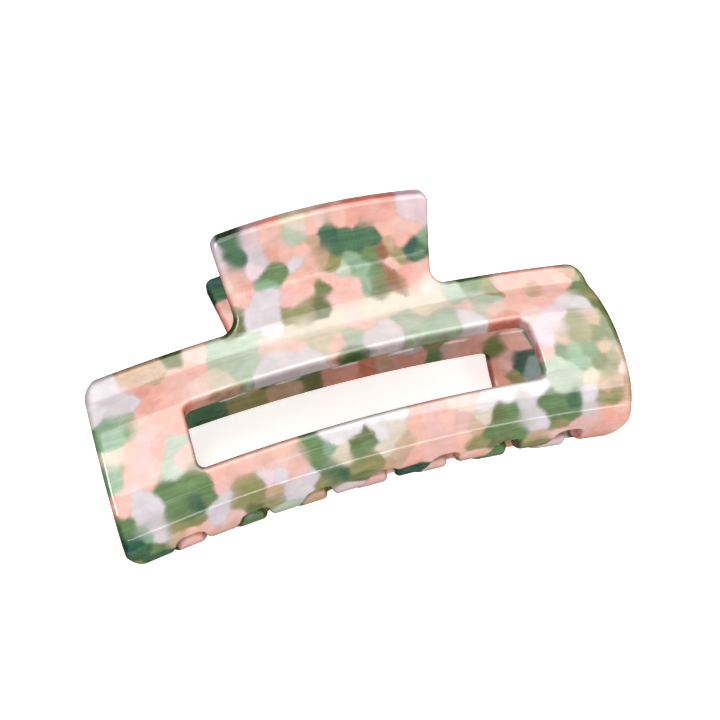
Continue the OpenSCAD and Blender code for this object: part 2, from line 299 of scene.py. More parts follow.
# Chips of the front jaw: x, distance along the section, colour
FRONT_CHIPS = [
    # handle
    (-18.5, -15, "forest"), (-18, -17.8, "forest"), (-17.5, -13.2, "forest"), (-21.5, -16, "lavender"),
    (-20.5, -13, "rose"), (-14.5, -17, "rose"), (-14, -13.5, "lavender"), (-11, -17, "peach"),
    (-10.5, -14, "salmon"), (-8.5, -13, "peach"), (-15, -11.5, "rose"), (-12.5, -9, "green"),
    (-10.2, -9.6, "green"), (-13, -7.9, "mint"), (-18, -10.2, "peach"), (-17.5, -8, "salmon"),
    (-20.5, -9.5, "blush"), (-19, -6, "peach"), (-15, -4, "lavender"), (-13, -5, "lavender"),
    (-16.8, -2, "lavender"), (-13, -1.2, "lavender"), (-20.6, -2.6, "moss"), (-9.8, -1, "olive"),
    (-6, -0.6, "olive"), (-3.4, -0.7, "moss"), (-7.6, -6, "peach"), (-6, -4, "peach"),
    (-9, -4.2, "pink"), (-5, -7.4, "salmon"), (-6.5, -10.6, "lavender"), (-4.6, -12.4, "peach"),
    (-5.6, -15.6, "mist"), (-4.4, -18, "cream"), (-2.4, -13.8, "tan"), (-2.8, -17, "peach"),
    (-1.7, -4, "moss"), (-3.2, -9, "peach"), (-1, -10, "tan"), (1, -13.6, "pine"), (4, -13.2, "forest"),
    (7.5, -13, "forest"), (9, -11.6, "forest"), (2, -11.2, "forest"), (0.4, -15, "forest"),
    (5.5, -11, "forest"), (1, -8.8, "olive"), (4.5, -8.8, "mint"), (8, -8.6, "green"),
    (6.2, -6.6, "mint"), (2.4, -7.2, "mist"), (3, -17.5, "peach"), (6, -17, "salmon"), (9.5, -16.6, "salmon"),
    (13, -16.2, "salmon"), (0, -17.6, "blush"), (12.6, -13, "peach"), (15, -13, "peach"),
    (17.4, -12, "peach"), (17, -16, "rose"), (20, -18, "rose"), (20, -14.6, "rose"), (15.4, -10.4, "salmon"),
    (12.4, -10, "tan"), (11, -9, "brown"), (16.6, -8.4, "pine"),
    (18.2, -7.4, "forest"), (14.6, -7.6, "olive"),
    (19.8, -9.4, "mint"), (13, -6, "peach"), (15, -4.2, "salmon"), (16.6, -2, "peach"), (18.4, -4, "peach"),
    (18.8, -0.8, "blush"), (11.6, -4.4, "brown"), (12.8, -1.8, "brown"), (9.4, -4.2, "green"),
    (9.8, -1.4, "moss"), (6.9, -3, "mint"), (2, -4.2, "peach"), (4.6, -3, "pink"), (3, -1, "peach"),
    (0, -5.6, "peach"), (0, -1.6, "pink"),
    # upper bar and left side
    (-48, 2, "lavender"), (-47, 5, "lavender"), (-44.4, 7.5, "lavender"), (-46.6, 9, "lavender"),
    (-50, 7, "white"), (-43, 1.2, "tan"), (-40, 1.8, "tan"), (-37.6, 2.4, "tan"), (-41, 5.6, "salmon"),
    (-39, 7.6, "salmon"), (-41, 10.6, "salmon"), (-42, 13.6, "peach"), (-39.4, 13, "salmon"),
    (-43.4, 17, "pink"), (-41, 19.4, "salmon"), (-45.6, 18.4, "peach"), (-35, 5, "peach"), (-31, 5, "peach"),
    (-30.4, 9.6, "blush"), (-35.6, 9.6, "peach"), (-37, 15.6, "salmon"), (-37, 23, "pink"),
    (-48.4, 12, "mint"), (-46, 12.4, "mint"), (-47.4, 15, "mint"),
    (-44.8, 14.4, "green"), (-43.4, 14.2, "tan"),
    (-48.4, 18.4, "cream"), (-49.4, 21.6, "mint"), (-47, 22.6, "peach"), (-43.4, 23.6, "peach"),
    (-44.4, 20.8, "pink"), (-38.6, 20.4, "mist"), (-39.4, 24.2, "mist"), (-34, 0.6, "moss"),
    (-30, 1.4, "blush"), (-25.4, 3, "mist"), (-22, 4, "mist"), (-19, 3, "mist"), (-23, 8.4, "mist"),
    (-19, 7.4, "mist"), (-26.4, 9.6, "cream"), (-17, 9.6, "white"), (-14, 9.4, "white"), (-15, 5.4, "blush"),
    (-13, 2, "white"), (-10.4, 3, "cream"), (-11.2, 6.4, "blush"), (-7.6, 4.4, "cream"), (-6, 8, "cream"),
    (-4, 4, "cream"), (-9, 10.8, "white"), (-2.6, 9.4, "blush"), (-0.6, 3, "cream"), (2.6, 3, "blush"),
    (4.4, 5.4, "blush"), (1, 8.6, "mist"), (4, 10, "white"), (7.4, 8, "white"), (7, 2.6, "cream"),
    (11, 2, "cream"), (12, 6, "mist"), (16, 4, "cream"), (20, 4, "cream"), (14, 10, "mist"), (20, 9, "mist"),
    (24, 9.6, "white"), (25.6, 6.6, "blush"), (24, 2.6, "mist"), (28, 1.4, "green"), (31, 2.6, "olive"),
    (29.4, 5, "mist"), (27.4, 7, "mist"), (30.4, 9, "blush"), (34.4, 2, "peach"), (36.4, 5, "peach"),
    (34.4, 9, "peach"), (38, 2, "peach"), (31.6, 11.6, "salmon"), (39.6, 5, "tan"), (43, 2, "peach"),
    (43, 6, "peach"), (46.4, 3, "peach"), (40, 8.6, "peach"), (48.6, 0.8, "tan"), (49.6, 5, "green"),
    (50.8, 2.8, "olive"), (51, 8.6, "olive"), (45, 10, "white"), (47.6, 11.2, "white"), (50.4, 11, "moss"),
    (41.4, 12, "rose"), (38.4, 13.6, "rose"), (40, 16.2, "rose"), (37, 18, "rose"), (36, 12.6, "blush"),
    (35.6, 20, "pink"), (44.4, 15, "olive"), (45.6, 18, "olive"), (47.8, 15, "tan"), (43, 18.2, "olive"),
    (50, 15.6, "moss"), (40.2, 19.4, "tan"), (39.4, 21.2, "green"), (42, 21.2, "mint"), (44.4, 21.6, "green"),
    (45.6, 24.4, "moss"), (42, 24, "mint"), (47.4, 18.8, "moss"), (48.2, 21.2, "tan"), (48.8, 23.8, "olive"),
    (50.8, 19.5, "moss"), (51, 23, "tan"), (47.6, 25.6, "olive"), (36.6, 24, "mist"),
    (40, 26, "mist"), (38, 28.4, "mist"), (43.6, 27, "cream"),
    (31.6, 27.4, "white"), (50.4, 26, "blush"), (26, 27.6, "white"), (18, 27.4, "blush"), (10, 27.2, "pink"),
    (3.4, 27.4, "white"),
    # lower bar
    (-49.4, 27, "peach"), (-46.6, 27.6, "lavender"), (-46.4, 30.4, "lavender"), (-44.4, 29.4, "lavender"),
    (-45, 33, "lavender"), (-43.6, 34.6, "lavender"), (-44, 37, "lavender"), (-47, 34.4, "mint"),
    (-49.4, 31, "green"), (-49, 35, "pine"), (-48.2, 38.2, "forest"), (-45.6, 38.8, "green"),
    (-41.4, 28, "green"), (-38, 28, "green"), (-35, 28.6, "green"),
    (-40, 31.4, "green"), (-36.4, 31.6, "forest"),
    (-34.4, 31.4, "green"), (-38.4, 33.6, "green"), (-40.4, 35.6, "olive"), (-37.6, 36, "olive"),
    (-41.6, 38.2, "tan"), (-38.6, 38.4, "peach"), (-35.8, 38.4, "peach"), (-32, 27.6, "peach"),
    (-29.4, 29.2, "peach"), (-26.6, 27.6, "peach"), (-32, 30.8, "pink"), (-33, 34.6, "lavender"),
    (-31.4, 33.2, "lavender"), (-33.4, 37, "lavender"), (-30.6, 38.6, "pink"), (-27.6, 31.8, "olive"),
    (-25, 32.6, "olive"), (-28.4, 35.4, "olive"), (-25, 35.6, "olive"), (-22, 35.4, "tan"), (-26, 38, "moss"),
    (-22.6, 38, "olive"), (-22.4, 28.8, "peach"), (-19, 28.6, "peach"), (-20, 31.8, "lavender"),
    (-17, 30.8, "peach"), (-22.8, 31.6, "rose"), (-17, 33, "pink"), (-18, 36.2, "lavender"),
    (-15, 35.4, "lavender"), (-16.4, 38, "lavender"), (-12.4, 30, "green"), (-12, 32.4, "green"),
    (-10.2, 30, "mint"), (-8.4, 31, "cream"), (-7.6, 33.4, "cream"),
    (-9, 27.8, "white"), (-4.4, 29.6, "moss"),
    (-2.8, 31, "green"), (-2.6, 29, "moss"), (-4.8, 32, "green"), (-10, 35.6, "forest"), (-8, 36.8, "forest"),
    (-12.4, 37.6, "olive"), (-5.6, 36.2, "olive"), (-2.4, 35.6, "olive"),
    (-1, 27.2, "white"), (-5, 27, "white"),
    (0.6, 29.6, "white"), (0, 33.2, "cream"), (-5, 38.6, "moss"), (3, 30.4, "cream"), (4.4, 33.4, "tan"),
    (3, 36.4, "tan"), (7, 30.4, "peach"), (10.4, 31.4, "pink"), (13, 30.6, "peach"), (16.4, 31.4, "pink"),
    (8.4, 34.4, "peach"), (12.4, 35, "pink"), (16, 35, "peach"), (10, 38, "pink"), (14, 38, "peach"),
    (6, 38, "salmon"), (18.6, 33, "tan"), (20.6, 31, "cream"), (21, 28.6, "white"), (24, 31.8, "moss"),
    (26.4, 32, "green"), (22, 35.2, "green"), (25.2, 35.4, "green"),
    (19.8, 37.4, "olive"), (24, 38.2, "moss"),
    (27.4, 37.6, "green"), (29.4, 31, "lavender"), (30.8, 33.6, "lavender"), (32.2, 36, "lavender"),
    (33.6, 31, "green"), (36, 31.6, "green"), (39, 31, "forest"),
    (35.4, 33.8, "green"), (38.6, 34.4, "green"),
    (35.6, 36.6, "olive"), (42.6, 31, "lavender"), (42.8, 34.2, "lavender"), (40.2, 37, "pink"),
    (46.2, 29.4, "tan"), (48.8, 28.8, "tan"), (47.6, 31.8, "olive"), (45, 31.8, "olive"), (50.4, 31.4, "tan"),
    (46, 34.8, "salmon"), (49.2, 34.4, "peach"), (47.4, 37.4, "salmon"), (44, 37.2, "pink"),
    (50, 37.6, "salmon"), (32, 39, "tan"), (36, 39.6, "pink"), (41, 39.6, "pink"),
    # teeth
    (-46, 43, "forest"), (-45.5, 50, "green"), (-32.5, 42.6, "peach"), (-32.5, 50, "salmon"),
    (-19.5, 42.6, "mist"), (-19.5, 50, "green"), (-6.5, 42.6, "rose"), (-6.5, 50, "lavender"),
    (6.5, 42, "pine"), (6.5, 50, "forest"), (19.5, 42.6, "peach"), (19.5, 50, "salmon"),
    (32.5, 42.6, "olive"), (32.5, 50, "green"), (45.5, 42.6, "salmon"), (45.5, 50, "peach"),
]

# The rear jaw's chips that show through the front window and beside the handle
REAR_CHIPS = [
    (-31, 11, "forest"), (-27, 11, "forest"), (-22, 11, "olive"), (-18, 11.5, "olive"), (-13, 11, "tan"),
    (-9, 11, "tan"), (-5.4, 11, "moss"), (-1, 11, "salmon"), (3, 11, "salmon"), (7, 11, "coral"),
    (11, 11, "tan"), (15, 11, "salmon"), (18.6, 11, "salmon"), (22, 11.4, "green"), (26.4, 10.6, "pink"),
    (30.6, 11, "salmon"), (36, 12, "moss"), (41, 10.6, "peach"), (38, 16, "pink"), (41.6, 16.6, "pine"),
    (43, 18.6, "pine"), (39.4, 20.4, "olive"), (36.6, 22, "salmon"), (36.4, 16.4, "salmon"),
    (-20.4, -17, "pine"), (-20, -13.4, "forest"), (-20, -9, "peach"), (-20.4, -4.6, "salmon"),
    (-39, 42.6, "brown"), (-26, 42.6, "olive"), (-13, 42.6, "moss"), (0, 42.6, "tan"), (13, 42.6, "salmon"),
    (26, 42.6, "forest"), (39, 42.6, "pink"), (-39, 50, "peach"), (-26, 50, "green"), (-13, 50, "tan"),
    (0, 50, "pink"), (13, 50, "peach"), (26, 50, "green"), (39, 50, "rose"),
]
COMMON = ["peach", "peach", "salmon", "pink", "blush", "lavender", "rose", "white", "cream", "mist",
          "mint", "green", "green", "forest", "olive", "olive", "moss", "tan", "lavender", "peach"]


def linear(c):
    """An sRGB colour of 0 to 255, as linear light."""
    c = np.asarray(c, float) / 255
    return np.where(c <= 0.04045, c / 12.92, ((c + 0.055) / 1.055) ** 2.4)


def filled_out(chips, seed, spacing=7.0):
    """The chips, with scattered ones wherever none has been placed."""
    rng = random.Random(seed)
    chips = list(chips)
    placed = np.array([c[:2] for c in chips])
    s = S_TIP - 2
    while s < S_TOOTH_TIP + 3:
        x = -CLIP_LEN / 2 - 2
        while x < CLIP_LEN / 2 + 3:
            p = np.array([x + rng.uniform(-2.6, 2.6), s + rng.uniform(-2.6, 2.6)])
            name = rng.choice(COMMON)
            if np.sqrt(((placed - p) ** 2).sum(1)).min() > 5.0:
                chips.append((p[0], p[1], name))
            x += spacing
        s += spacing * 0.8
    return chips


# How far the chips' borders wander and fray, how soft they are from the sharpest on, and
# how dark and wide the line is where two unlike chips meet
WANDER, FRAY = 0.9, 0.16
SHARPEST, SOFTER = 0.16, 0.8
BORDER_DARK, BORDER_WIDTH = 0.14, 0.3


def chip_colours(x, s, below, chips, seed):
    """The acetate's colour and clearness at points of the plate, as linear RGBA."""
    rng = random.Random(seed)
    at = np.array([c[:2] for c in chips])
    table = []
    for chip in chips:
        rgb, clear = PALETTE[chip[2]]
        table.append([*(linear(rgb) * (1 + rng.uniform(-0.06, 0.06))), clear])
    table = np.array(table)
    flat = list(zip(x, s, below))
    wobble = np.array([
        noise.noise_vector(Vector((a / 5.0, b / 5.0, seed + c / 4.0)))[:2] for a, b, c in flat])
    fine = np.array([
        noise.noise_vector(Vector((a / 1.9, b / 1.9, seed + 7 + c / 2.0)))[:2] for a, b, c in flat])
    p = np.stack([x, s], -1) + WANDER * wobble + FRAY * fine
    softness = SHARPEST + SOFTER * np.clip(0.45 + wobble[:, 0] + wobble[:, 1], 0, 1) ** 3
    result = np.zeros((len(p), 4))
    for i in range(0, len(p), 2000):
        d = np.sqrt(((p[i:i + 2000, None] - at[None]) ** 2).sum(2))
        w = np.exp(-(d - d.min(1)[:, None]) / softness[i:i + 2000, None])
        mixed = (w @ table) / w.sum(1)[:, None]
        order = np.argpartition(d, 1, axis=1)[:, :2]
        near = np.take_along_axis(d, order, 1)
        contrast = np.clip(3 * np.abs(table[order[:, 0], :3] - table[order[:, 1], :3]).max(1), 0, 1)
        border = contrast * np.exp(-((near[:, 1] - near[:, 0]) / BORDER_WIDTH) ** 2)
        mixed[:, :3] *= (1 - BORDER_DARK * border)[:, None]
        result[i:i + 2000] = mixed
    return result


# ---------------------------------------------------------------- meshes
def new_object(name, verts, faces, normals=None):
    """A smooth-shaded object in the scene, with its own normals if they are given."""
    mesh = bpy.data.meshes.new(name)
    mesh.from_pydata([tuple(v) for v in np.asarray(verts, float)], [], faces)
    mesh.validate()
    mesh.update()
    mesh.polygons.foreach_set("use_smooth", [True] * len(mesh.polygons))
    if normals is not None:
        mesh.normals_split_custom_set_from_vertices([tuple(n) for n in normals])
    obj = bpy.data.objects.new(name, mesh)
    bpy.context.scene.collection.objects.link(obj)
    return obj


# Spacing of the net over the faces, steps of a rounded edge, and twice the area of a sliver
NET, EDGE_STEPS, NO_AREA = 0.5, 7, 2e-5
# How deep the rounding of the edges goes, and how far it reaches into the faces
OUTER_ROUND, INNER_ROUND = 1.2, 0.8
WINDOW_REACH, EDGE_REACH, END_EXTRA = 0.9, 1.1, 0.8
# How far the faces lie under the CAD's
OUTER_SKIN, INNER_SKIN = 0.07, 0.03


def edge_width(loop, solid_inside):
    """How far the rounding of the edges reaches into the faces: widest at the two ends."""
    if not solid_inside:
        return np.full((len(loop), 1), WINDOW_REACH)
    x, s = np.abs(loop[:, 0]), loop[:, 1]
    end = np.clip((x - 46) / 4, 0, 1) * np.clip((S_TOE - 1 - s) / 4, 0, 1) * np.clip((s + 3) / 3, 0, 1)
    toe = np.clip((s - S_TOE + 4) / 4, 0, 1)
    return (EDGE_REACH + END_EXTRA * end - 0.05 * toe)[:, None]


def plate(name, side, teeth, chips, seed):
    """A jaw: the flat outline filled with a fine net, bent to shape on both faces of the
    plate, with rounded and polished edges between them."""
    loops = [(jaw_outline(teeth), True), (window_outline(), False)]
    outs = [outward(loop, solid) for loop, solid in loops]
    widths = [edge_width(loop, solid) for loop, solid in loops]
    inner = [loop - w * n for (loop, _), n, w in zip(loops, outs, widths)]

    xs = np.arange(-CLIP_LEN / 2, CLIP_LEN / 2, NET)
    ss = np.arange(S_TIP, S_TOOTH_TIP, NET)
    gx, gs = np.meshgrid(xs, ss)
    gx = gx + (np.arange(len(ss)) % 2)[:, None] * NET / 2
    net = np.stack([gx.ravel(), gs.ravel()], -1)
    net = net[inside(net, inner[0]) & ~inside(net, inner[1])]
    net = net[far_from(net, np.concatenate(inner), NET * 0.62)]

    flat = np.concatenate([*inner, net])
    edges, start = [], 0
    for loop in inner:
        n = len(loop)
        edges += [(start + i, start + (i + 1) % n) for i in range(n)]
        start += n
    co, _, faces, origin, _, _ = delaunay_2d_cdt([Vector(p) for p in flat], edges, [], 0, 1e-7)
    co = np.array([tuple(c) for c in co])
    corners = co[np.array(faces)]
    centres = corners.mean(1)
    (ux, uy), (vx, vy) = (corners[:, 1] - corners[:, 0]).T, (corners[:, 2] - corners[:, 0]).T
    # Straight runs of an outline leave slivers with no area along it, which are dropped
    keep = (np.abs(ux * vy - uy * vx) > NO_AREA) & inside(centres, inner[0]) & ~inside(centres, inner[1])
    tris = [tuple(f) for f, k in zip(faces, keep) if k]
    index = {}
    for new, old in enumerate(origin):
        for o in old:
            index[o] = new

    verts, normals, flats, rims = [], [], [], []
    for below, facing in ((OUTER_SKIN, 1.0), (PLATE_T - INNER_SKIN, -1.0)):
        p, n = on_plate(co[:, 0], co[:, 1], below, side)
        verts.append(p)
        normals.append(facing * n)
        flats.append(np.insert(co, 2, below, axis=1))
        rims.append(np.zeros(len(co)))
    n_face = len(co)
    polys = tris + [(a + n_face, b + n_face, c + n_face) for a, b, c in tris]

    # Rounded edges: rings from the outer face round to the inner one
    count = 2 * n_face
    first = 0
    for (loop, _), out, width in zip(loops, outs, widths):
        n = len(loop)
        rings = [[index[first + i] for i in range(n)]]
        steps = [(k / EDGE_STEPS * 90.0, 0) for k in range(1, EDGE_STEPS + 1)]
        steps += [(90.0 - k / EDGE_STEPS * 90.0, 1) for k in range(0, EDGE_STEPS)]
        for angle, lower in steps:
            a = math.radians(angle)
            at = loop - width * (1 - math.sin(a)) * out
            depth = INNER_ROUND if lower else OUTER_ROUND
            drop = depth * (1 - math.cos(a))
            below = PLATE_T - INNER_SKIN - drop if lower else OUTER_SKIN + drop
            p, n_up = on_plate(at[:, 0], at[:, 1], below, side)
            q, _ = on_plate(at[:, 0] + 0.05 * out[:, 0], at[:, 1] + 0.05 * out[:, 1], below, side)
            sideways = q - p
            sideways /= np.linalg.norm(sideways, axis=1)[:, None]
            verts.append(p)
            tilt = math.sin(a) / width * sideways + (-1 if lower else 1) * math.cos(a) / depth * n_up
            normals.append(tilt / np.linalg.norm(tilt, axis=1)[:, None])
            flats.append(np.insert(at, 2, below, axis=1))
            rims.append(np.full(n, math.sin(a)))
            rings.append(list(range(count, count + n)))
            count += n
        rings.append([index[first + i] + n_face for i in range(n)])
        first += n
        for upper, lower in zip(rings, rings[1:]):
            for i in range(n):
                j = (i + 1) % n
                polys.append((upper[i], upper[j], lower[j], lower[i]))
    verts, normals = np.concatenate(verts), np.concatenate(normals)
    flats, rims = np.concatenate(flats), np.concatenate(rims)
    # Every face is turned to match its normals
    a, b, c = (verts[[f[k] for f in polys]] for k in range(3))
    facing = normals[[f[0] for f in polys]] + normals[[f[2] for f in polys]]
    wrong = (np.cross(b - a, c - a) * facing).sum(1) < 0
    polys = [f[::-1] if w else f for f, w in zip(polys, wrong)]

    obj = new_object(name, verts * MM, polys, normals)
    colours = obj.data.attributes.new("chips", "FLOAT_COLOR", "POINT")
    colours.data.foreach_set("color", chip_colours(*flats.T, chips, seed).ravel())
    # How far round its edge each point lies, which the material uses to paint shade on the rounded edges
    rim = obj.data.attributes.new("rim", "FLOAT", "POINT")
    rim.data.foreach_set("value", rims)
    lay = obj.data.attributes.new("lay", "FLOAT_VECTOR", "POINT")
    lay.data.foreach_set("vector", (flats + np.array([0, 0, 10.0 * seed])).ravel())
    return obj


def lathe(name, profile, sides=48):
    """A turned part about X: profile points (x, radius), from axis to axis."""
    verts, faces = [], []
    for x, r in profile:
        for k in range(sides):
            a = 2 * math.pi * k / sides
            verts.append((x, Y_SHIFT + r * math.cos(a), HALF_DEPTH + r * math.sin(a)))
    for i in range(len(profile) - 1):
        for k in range(sides):
            j = (k + 1) % sides
            faces.append((i * sides + k, i * sides + j, (i + 1) * sides + j, (i + 1) * sides + k))
    faces.append(tuple(range(sides))[::-1])
    faces.append(tuple((len(profile) - 1) * sides + k for k in range(sides)))
    return new_object(name, np.array(verts) * MM, faces)


def tube(name, path, radius, sides=14):
    """A wire along a path, with rounded ends."""
    path = np.array(path, float)
    heading = np.gradient(path, axis=0)
    heading /= np.linalg.norm(heading, axis=1)[:, None]
    v = np.array([0.3, 1.0, 0.2])
    verts, faces = [], []
    rings = []
    for p, t in zip(path, heading):
        v = v - (v @ t) * t
        v = v / np.linalg.norm(v)
        rings.append((p, t, v, radius))
    p, t, v, _ = rings[0]
    caps = [(p - t * radius * math.sin(math.radians(e)), t, v, radius * math.cos(math.radians(e)))
            for e in (75, 50, 25)]
    p, t, v, _ = rings[-1]
    ends = [(p + t * radius * math.sin(math.radians(e)), t, v, radius * math.cos(math.radians(e)))
            for e in (25, 50, 75)]
    rings = caps + rings + ends
    for p, t, v, r in rings:
        w = np.cross(t, v)
        for k in range(sides):
            a = 2 * math.pi * k / sides
            verts.append(p + r * (math.cos(a) * v + math.sin(a) * w))
    for i in range(len(rings) - 1):
        for k in range(sides):
            j = (k + 1) % sides
            faces.append((i * sides + k, i * sides + j, (i + 1) * sides + j, (i + 1) * sides + k))
    faces.append(tuple(range(sides))[::-1])
    faces.append(tuple((len(rings) - 1) * sides + k for k in range(sides)))
    return new_object(name, np.array(verts) * MM, faces)


# ---------------------------------------------------------------- materials
def material(name):
    """An empty node material, and its node tree."""
    mat = bpy.data.materials.new(name)
    mat.use_nodes = True
    tree = mat.node_tree
    tree.nodes.clear()
    return mat, tree


def add(tree, kind, **values):
    """A node; values are its properties, or its input sockets by name or number."""
    node = tree.nodes.new(kind)
    for key, value in values.items():
        if key.startswith("in_"):
            label = key[3:].replace("_", " ")
            socket = node.inputs[int(label)] if label.isdigit() else node.inputs[label]
            if isinstance(value, bpy.types.NodeSocket):
                tree.links.new(value, socket)
            else:
                socket.default_value = value
        else:
            setattr(node, key, value)
    return node


def acetate(name, layer="chips"):
    """Polished marbled acetate: milky chips and clearer ones with streaks in them, and painted shade on the
    rounded edges.
    """
    mat, tree = material(name)
    chips = add(tree, "ShaderNodeAttribute", attribute_name=layer)
    lay = add(tree, "ShaderNodeAttribute", attribute_name="lay").outputs["Vector"]
    rim = add(tree, "ShaderNodeAttribute", attribute_name="rim").outputs["Fac"]
    clear = chips.outputs["Alpha"]

    # Streaks along the sheet, strongest in the clear chips
    long = add(tree, "ShaderNodeMapping", in_Vector=lay, in_Scale=(0.055, 1.0, 1.0), in_Rotation=(0, 0, 0.03))
    bends = add(tree, "ShaderNodeTexNoise", in_Vector=lay, in_Scale=0.16, in_Detail=2.0)
    warped = add(tree, "ShaderNodeVectorMath", operation="MULTIPLY_ADD",
                 in_0=bends.outputs["Color"], in_1=(0.0, 1.6, 0.0), in_2=long.outputs["Vector"])
    streak = add(tree, "ShaderNodeTexNoise", in_Vector=warped.outputs["Vector"], in_Scale=1.35,
                 in_Detail=4.0, in_Roughness=0.6)
    streak = add(tree, "ShaderNodeMapRange", in_Value=streak.outputs["Fac"],
                 in_1=0.3, in_2=0.7, in_3=-1.0, in_4=1.0)
    cloud = add(tree, "ShaderNodeTexNoise", in_Vector=lay, in_Scale=0.33, in_Detail=3.0, in_Roughness=0.55)
    cloud = add(tree, "ShaderNodeMapRange", in_Value=cloud.outputs["Fac"],
                in_1=0.3, in_2=0.7, in_3=-1.0, in_4=1.0)
    depth = add(tree, "ShaderNodeMapRange", in_Value=clear, in_1=0.0, in_2=1.0, in_3=0.02, in_4=0.26)
    shade = add(tree, "ShaderNodeMath", operation="MULTIPLY_ADD",
                in_0=streak.outputs["Result"], in_1=depth.outputs["Result"], in_2=1.0)
    shade = add(tree, "ShaderNodeMath", operation="MULTIPLY_ADD",
                in_0=cloud.outputs["Result"], in_1=0.07, in_2=shade.outputs["Value"])
    # Painted shade on the rounded edges: their colour is darkened and deepened, most where the edge faces
    # sideways
    dark = add(tree, "ShaderNodeMapRange", in_Value=rim, in_1=0.55, in_2=1.0, in_3=1.0, in_4=0.74)
    shade = add(tree, "ShaderNodeMath", operation="MULTIPLY",
                in_0=shade.outputs["Value"], in_1=dark.outputs["Result"])
    deep = add(tree, "ShaderNodeMapRange", in_Value=rim, in_1=0.4, in_2=1.0, in_3=1.0, in_4=1.8)
    deep = add(tree, "ShaderNodeGamma", in_Color=chips.outputs["Color"], in_Gamma=deep.outputs["Result"])
    colour = add(tree, "ShaderNodeVectorMath", operation="SCALE",
                 in_0=deep.outputs["Color"], in_Scale=shade.outputs["Value"])

    # Pearly wisps in the milky chips
    wisp = add(tree, "ShaderNodeTexNoise", in_Vector=lay, in_Scale=0.2, in_Detail=5.0, in_Roughness=0.6,
               in_Distortion=1.2)
    wisp = add(tree, "ShaderNodeMapRange", in_Value=wisp.outputs["Fac"],
               in_1=0.48, in_2=0.74, in_3=0.0, in_4=0.4)
    milky = add(tree, "ShaderNodeMapRange", in_Value=clear, in_1=0.0, in_2=0.8, in_3=1.0, in_4=0.3)
    wisp = add(tree, "ShaderNodeMath", operation="MULTIPLY",
               in_0=wisp.outputs["Result"], in_1=milky.outputs["Result"])
    pearl = add(tree, "ShaderNodeMix", data_type="RGBA", in_Factor=wisp.outputs["Value"])
    tree.links.new(colour.outputs["Vector"], pearl.inputs[6])
    pearl.inputs[7].default_value = (*linear((232, 220, 220)), 1)

    # Faint flow lines under the polish, and a surface that is almost flat
    ripple = add(tree, "ShaderNodeTexNoise", in_Vector=lay, in_Scale=0.12, in_Detail=1.0)
    bump = add(tree, "ShaderNodeBump", in_Strength=0.12, in_Distance=0.0006, in_Height=ripple.outputs["Fac"])
    wear = add(tree, "ShaderNodeTexNoise", in_Vector=lay, in_Scale=0.8, in_Detail=3.0)
    rough = add(tree, "ShaderNodeMapRange", in_Value=wear.outputs["Fac"],
                in_1=0.3, in_2=0.7, in_3=0.05, in_4=0.09)
    see = add(tree, "ShaderNodeMapRange", in_Value=clear, in_1=0.0, in_2=1.0, in_3=0.04, in_4=0.42)
    shader = add(
        tree, "ShaderNodeBsdfPrincipled", in_Base_Color=pearl.outputs[2],
        in_Roughness=rough.outputs["Result"], in_IOR=1.49, in_Normal=bump.outputs["Normal"],
        in_Subsurface_Weight=0.15, in_Subsurface_Radius=(1.0, 0.8, 0.7), in_Subsurface_Scale=0.001,
        in_Transmission_Weight=see.outputs["Result"])
    add(tree, "ShaderNodeOutputMaterial", in_Surface=shader.outputs["BSDF"])
    return mat


def steel(name, base, low, high, stretch):
    """Drawn or turned steel, with fine lines round or along it."""
    mat, tree = material(name)
    place = add(tree, "ShaderNodeTexCoord").outputs["Object"]
    lines = add(tree, "ShaderNodeMapping", in_Vector=place, in_Scale=stretch)
    grain = add(tree, "ShaderNodeTexNoise", in_Vector=lines.outputs["Vector"], in_Scale=1.0,
                in_Detail=4.0, in_Roughness=0.6)
    spots = add(tree, "ShaderNodeTexNoise", in_Vector=place, in_Scale=900.0, in_Detail=3.0)
    tone = add(tree, "ShaderNodeMapRange", in_Value=spots.outputs["Fac"],
               in_1=0.35, in_2=0.65, in_3=0.86, in_4=1.05)
    colour = add(tree, "ShaderNodeVectorMath", operation="SCALE", in_0=base, in_Scale=tone.outputs["Result"])
    rough = add(tree, "ShaderNodeMapRange", in_Value=grain.outputs["Fac"],
                in_1=0.3, in_2=0.7, in_3=low, in_4=high)
    bump = add(tree, "ShaderNodeBump", in_Strength=0.25, in_Distance=0.00004, in_Height=grain.outputs["Fac"])
    shader = add(
        tree, "ShaderNodeBsdfPrincipled", in_Base_Color=colour.outputs["Vector"], in_Metallic=1.0,
        in_Roughness=rough.outputs["Result"], in_Normal=bump.outputs["Normal"])
    add(tree, "ShaderNodeOutputMaterial", in_Surface=shader.outputs["BSDF"])
    return mat


def lug_acetate():
    """Olive-green acetate of the lugs, with streaks."""
    mat, tree = material("acetate_lug")
    place = add(tree, "ShaderNodeTexCoord").outputs["Object"]
    long = add(tree, "ShaderNodeMapping", in_Vector=place, in_Scale=(90.0, 420.0, 420.0))
    streak = add(tree, "ShaderNodeTexNoise", in_Vector=long.outputs["Vector"], in_Scale=1.0, in_Detail=4.0)
    ramp = add(tree, "ShaderNodeValToRGB", in_Fac=streak.outputs["Fac"])
    ramp.color_ramp.elements[0].position, ramp.color_ramp.elements[1].position = 0.3, 0.72
    ramp.color_ramp.elements[0].color = (*linear((70, 84, 48)), 1)
    ramp.color_ramp.elements[1].color = (*linear((152, 150, 92)), 1)
    rough = add(tree, "ShaderNodeMapRange", in_Value=streak.outputs["Fac"],
                in_1=0.3, in_2=0.7, in_3=0.07, in_4=0.14)
    shader = add(
        tree, "ShaderNodeBsdfPrincipled", in_Base_Color=ramp.outputs["Color"],
        in_Roughness=rough.outputs["Result"], in_IOR=1.49, in_Subsurface_Weight=0.3,
        in_Subsurface_Radius=(1.0, 1.0, 0.6), in_Subsurface_Scale=0.001, in_Transmission_Weight=0.3)
    add(tree, "ShaderNodeOutputMaterial", in_Surface=shader.outputs["BSDF"])
    return mat


